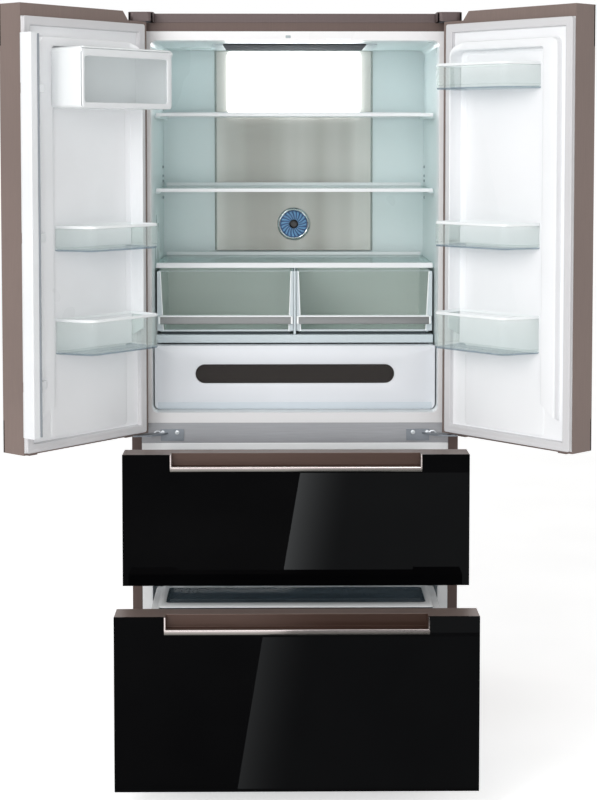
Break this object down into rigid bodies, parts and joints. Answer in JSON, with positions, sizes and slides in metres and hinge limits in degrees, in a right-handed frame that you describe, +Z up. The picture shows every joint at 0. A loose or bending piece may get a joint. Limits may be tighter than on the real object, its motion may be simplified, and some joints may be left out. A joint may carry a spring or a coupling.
{
  "type": "refrigerator",
  "caption": "Four-door refrigerator: tall cabinet with two black glass hinged doors over two freezer drawers, shown with doors open and drawers pulled out.",
  "frame": {"origin": "on the floor, under the middle of the space that the part takes up as stored, with its doors open and its freezer drawers pulled out", "axes": "+Z up, +Y towards the rear of the cabinet, +X to the right as seen from the front"},
  "size_m": [1.3988, 1.1125, 1.87],
  "materials": {
    "case_metal": "satin",
    "front_metal": "brushed satin",
    "foam_core": "closed-cell foam",
    "liner_white": "smooth",
    "freezer_white": "smooth",
    "beam_metal": "satin",
    "zinc_steel": "zinc plated",
    "motor_black": "satin",
    "bright_aluminium": "mill",
    "black_glass": "gloss, dark printed",
    "shelf_glass": "clear",
    "gasket_grey": "soft",
    "white_plastic": "fine matte",
    "grey_plastic": "fine matte",
    "clear_plastic": "clear",
    "lamp_plastic": "glowing diffuser",
    "bright_trim": "polished",
    "dark_plastic": "fine matte"
  },
  "bodies": {
    "cabinet": {"outer_cabinet": "case_metal", "cabinet_foam": "foam_core", "fridge_liner": "liner_white", "freezer_liner": "freezer_white", "cross_rails": "beam_metal", "rear_panels": "zinc_steel", "base_pan": "zinc_steel", "levelling_feet": "dark_plastic", "compressor": "motor_black", "drain_pan": "dark_plastic", "freezer_duct_cover": "white_plastic", "evaporator": "bright_aluminium", "duct_panel": "grey_plastic", "light_panel": "lamp_plastic", "air_filter": "bright_trim", "ceiling_vent": "grey_plastic", "top_shelf": "shelf_glass", "middle_shelf": "shelf_glass", "crisper_shelf": "shelf_glass", "shelf_trims": "white_plastic", "drawer_cover": "white_plastic", "door_hinges": "zinc_steel", "top_covers": "dark_plastic", "fixed_rails": "zinc_steel"},
    "left_door": {"left_door_frame": "front_metal", "left_door_foam": "foam_core", "left_door_glass": "black_glass", "left_door_liner": "liner_white", "left_door_gasket": "gasket_grey", "left_door_bins": "clear_plastic", "dairy_box": "white_plastic"},
    "dairy_flip_cover": {"dairy_cover": "clear_plastic"},
    "door_flap": {"mullion_flap": "white_plastic"},
    "right_door": {"right_door_frame": "front_metal", "right_door_foam": "foam_core", "right_door_glass": "black_glass", "right_door_liner": "liner_white", "right_door_gasket": "gasket_grey", "right_door_bins": "clear_plastic"},
    "upper_drawer": {"upper_drawer_frame": "front_metal", "upper_drawer_foam": "foam_core", "upper_drawer_glass": "black_glass", "upper_drawer_pull": "bright_trim", "upper_drawer_gasket": "gasket_grey", "upper_drawer_basket": "clear_plastic", "upper_drawer_rails": "zinc_steel"},
    "upper_slide_members": {"upper_drawer_middle_rails": "zinc_steel"},
    "lower_drawer": {"lower_drawer_frame": "front_metal", "lower_drawer_foam": "foam_core", "lower_drawer_glass": "black_glass", "lower_drawer_pull": "bright_trim", "lower_drawer_gasket": "gasket_grey", "lower_drawer_basket": "clear_plastic", "lower_drawer_rails": "zinc_steel"},
    "lower_slide_members": {"lower_drawer_middle_rails": "zinc_steel"},
    "left_crisper_body": {"left_crisper": "clear_plastic"},
    "right_crisper_body": {"right_crisper": "clear_plastic"},
    "wide_drawer": {"chiller_drawer": "white_plastic", "chiller_window": "clear_plastic"},
    "freezer_fan": {"evaporator_fan": "dark_plastic"}
  },
  "joints": [
    {"name": "left_door_hinge", "type": "hinge", "parent": "cabinet", "child": "left_door", "pos_m": [-0.404, -0.087, 1.2], "axis": [0, 0, -1], "range_deg": [-130, 5]},
    {"name": "right_door_hinge", "type": "hinge", "parent": "cabinet", "child": "right_door", "pos_m": [0.404, -0.087, 1.2], "axis": [0, 0, 1], "range_deg": [-132, 3]},
    {"name": "flap_hinge", "type": "hinge", "parent": "left_door", "child": "door_flap", "pos_m": [-0.61596, -0.43653, 1.323], "axis": [0, 0, 1], "range_deg": [-90, 4]},
    {"name": "dairy_cover_hinge", "type": "hinge", "parent": "left_door", "child": "dairy_flip_cover", "pos_m": [-0.39633, -0.34669, 1.758], "axis": [-0.6428, -0.766, 0], "range_deg": [0, 80]},
    {"name": "upper_drawer_slide", "type": "slide", "parent": "cabinet", "child": "upper_drawer", "axis": [0, -1, 0], "range_m": [-0.196, 0.204]},
    {"name": "upper_members_slide", "type": "slide", "parent": "cabinet", "child": "upper_slide_members", "axis": [0, -1, 0], "range_m": [-0.098, 0.102]},
    {"name": "lower_drawer_slide", "type": "slide", "parent": "cabinet", "child": "lower_drawer", "axis": [0, -1, 0], "range_m": [-0.426, 0.034]},
    {"name": "lower_members_slide", "type": "slide", "parent": "cabinet", "child": "lower_slide_members", "axis": [0, -1, 0], "range_m": [-0.213, 0.017]},
    {"name": "left_crisper_slide", "type": "slide", "parent": "cabinet", "child": "left_crisper_body", "axis": [0, -1, 0], "range_m": [0, 0.24]},
    {"name": "right_crisper_slide", "type": "slide", "parent": "cabinet", "child": "right_crisper_body", "axis": [0, -1, 0], "range_m": [0, 0.24]},
    {"name": "wide_drawer_slide", "type": "slide", "parent": "cabinet", "child": "wide_drawer", "axis": [0, -1, 0], "range_m": [0, 0.3]},
    {"name": "fan_spin", "type": "hinge", "parent": "cabinet", "child": "freezer_fan", "pos_m": [0, 0.42, 0.67], "axis": [0, 1, 0], "continuous": true}
  ],
  "couplings": [
    {"joint": "flap_hinge", "follows": "left_door_hinge", "ratio": 0.6923},
    {"joint": "upper_members_slide", "follows": "upper_drawer_slide", "ratio": 0.5},
    {"joint": "lower_members_slide", "follows": "lower_drawer_slide", "ratio": 0.5}
  ]
}
